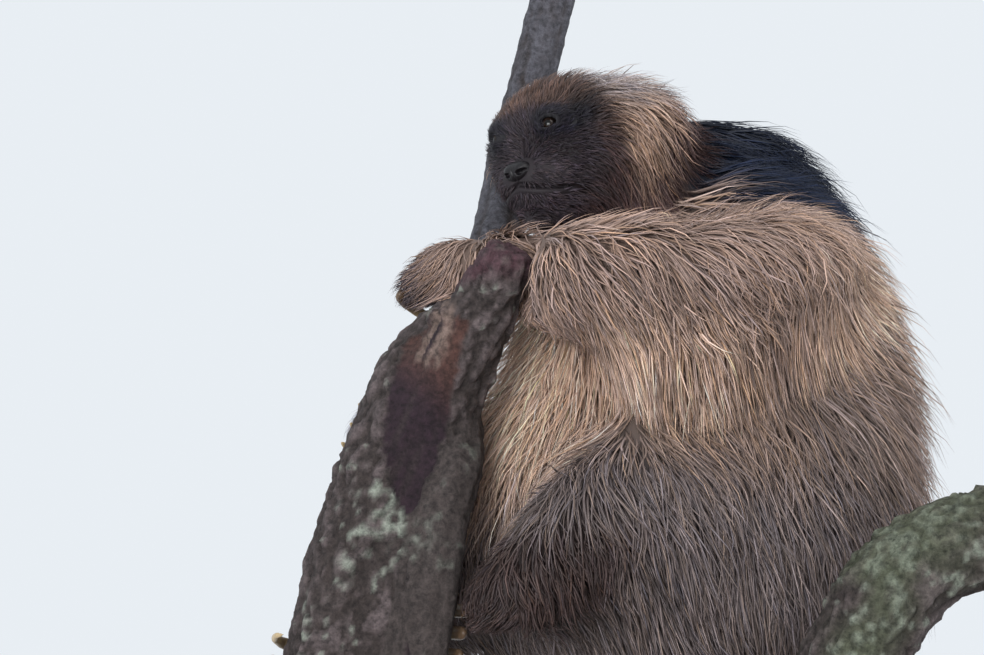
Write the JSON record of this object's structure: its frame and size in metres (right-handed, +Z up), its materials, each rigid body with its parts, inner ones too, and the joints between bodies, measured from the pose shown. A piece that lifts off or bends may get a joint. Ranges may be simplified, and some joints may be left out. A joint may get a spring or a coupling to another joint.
{
  "type": "three-toed sloth model",
  "caption": "Life-size still model of a maned three-toed sloth hugging a forked stem, on a plain display stand.",
  "frame": {"origin": "middle of the underside of the stand's board, on the floor", "axes": "+Z up, +X along the board's long side, towards the animal's back; the animal faces -X and -Y"},
  "size_m": [0.44, 0.352, 0.6514],
  "materials": {
    "coat": "long coarse golden-brown to grey-brown hair",
    "limb_coat": "shorter, darker brown hair on hands and feet",
    "face_coat": "short dark hair on the face in a golden-brown hood",
    "mane": "long blue-black hair",
    "claw": "dull horn",
    "nose": "bare dark skin, slightly moist",
    "eye": "glossy dark brown",
    "bark": "rough maroon and grey-brown bark with pale cut ends",
    "board": "satin varnish",
    "rod": "satin"
  },
  "bodies": {
    "root": {"stand_base": "board", "perch": "bark", "stand_rod_stem": "rod", "stand_rod_limb": "rod", "eye_left": "eye", "eye_right": "eye", "nose": "nose", "claw_hand_left_1": "claw", "claw_hand_left_2": "claw", "claw_hand_left_3": "claw", "claw_hand_right_1": "claw", "claw_hand_right_2": "claw", "claw_hand_right_3": "claw", "claw_foot_left_1": "claw", "claw_foot_left_2": "claw", "claw_foot_left_3": "claw", "claw_foot_right_1": "claw", "claw_foot_right_2": "claw", "claw_foot_right_3": "claw", "upper_arm_left": "coat", "forearm_left": "coat", "hand_left": "limb_coat", "upper_arm_right": "coat", "forearm_right": "coat", "hand_right": "limb_coat", "thigh_left": "coat", "shank_left": "coat", "foot_left": "limb_coat", "thigh_right": "coat", "shank_right": "coat", "foot_right": "limb_coat", "head": "face_coat", "mane": "mane", "neck": "coat", "tail": "coat", "torso": "coat"}
  },
  "joints": []
}
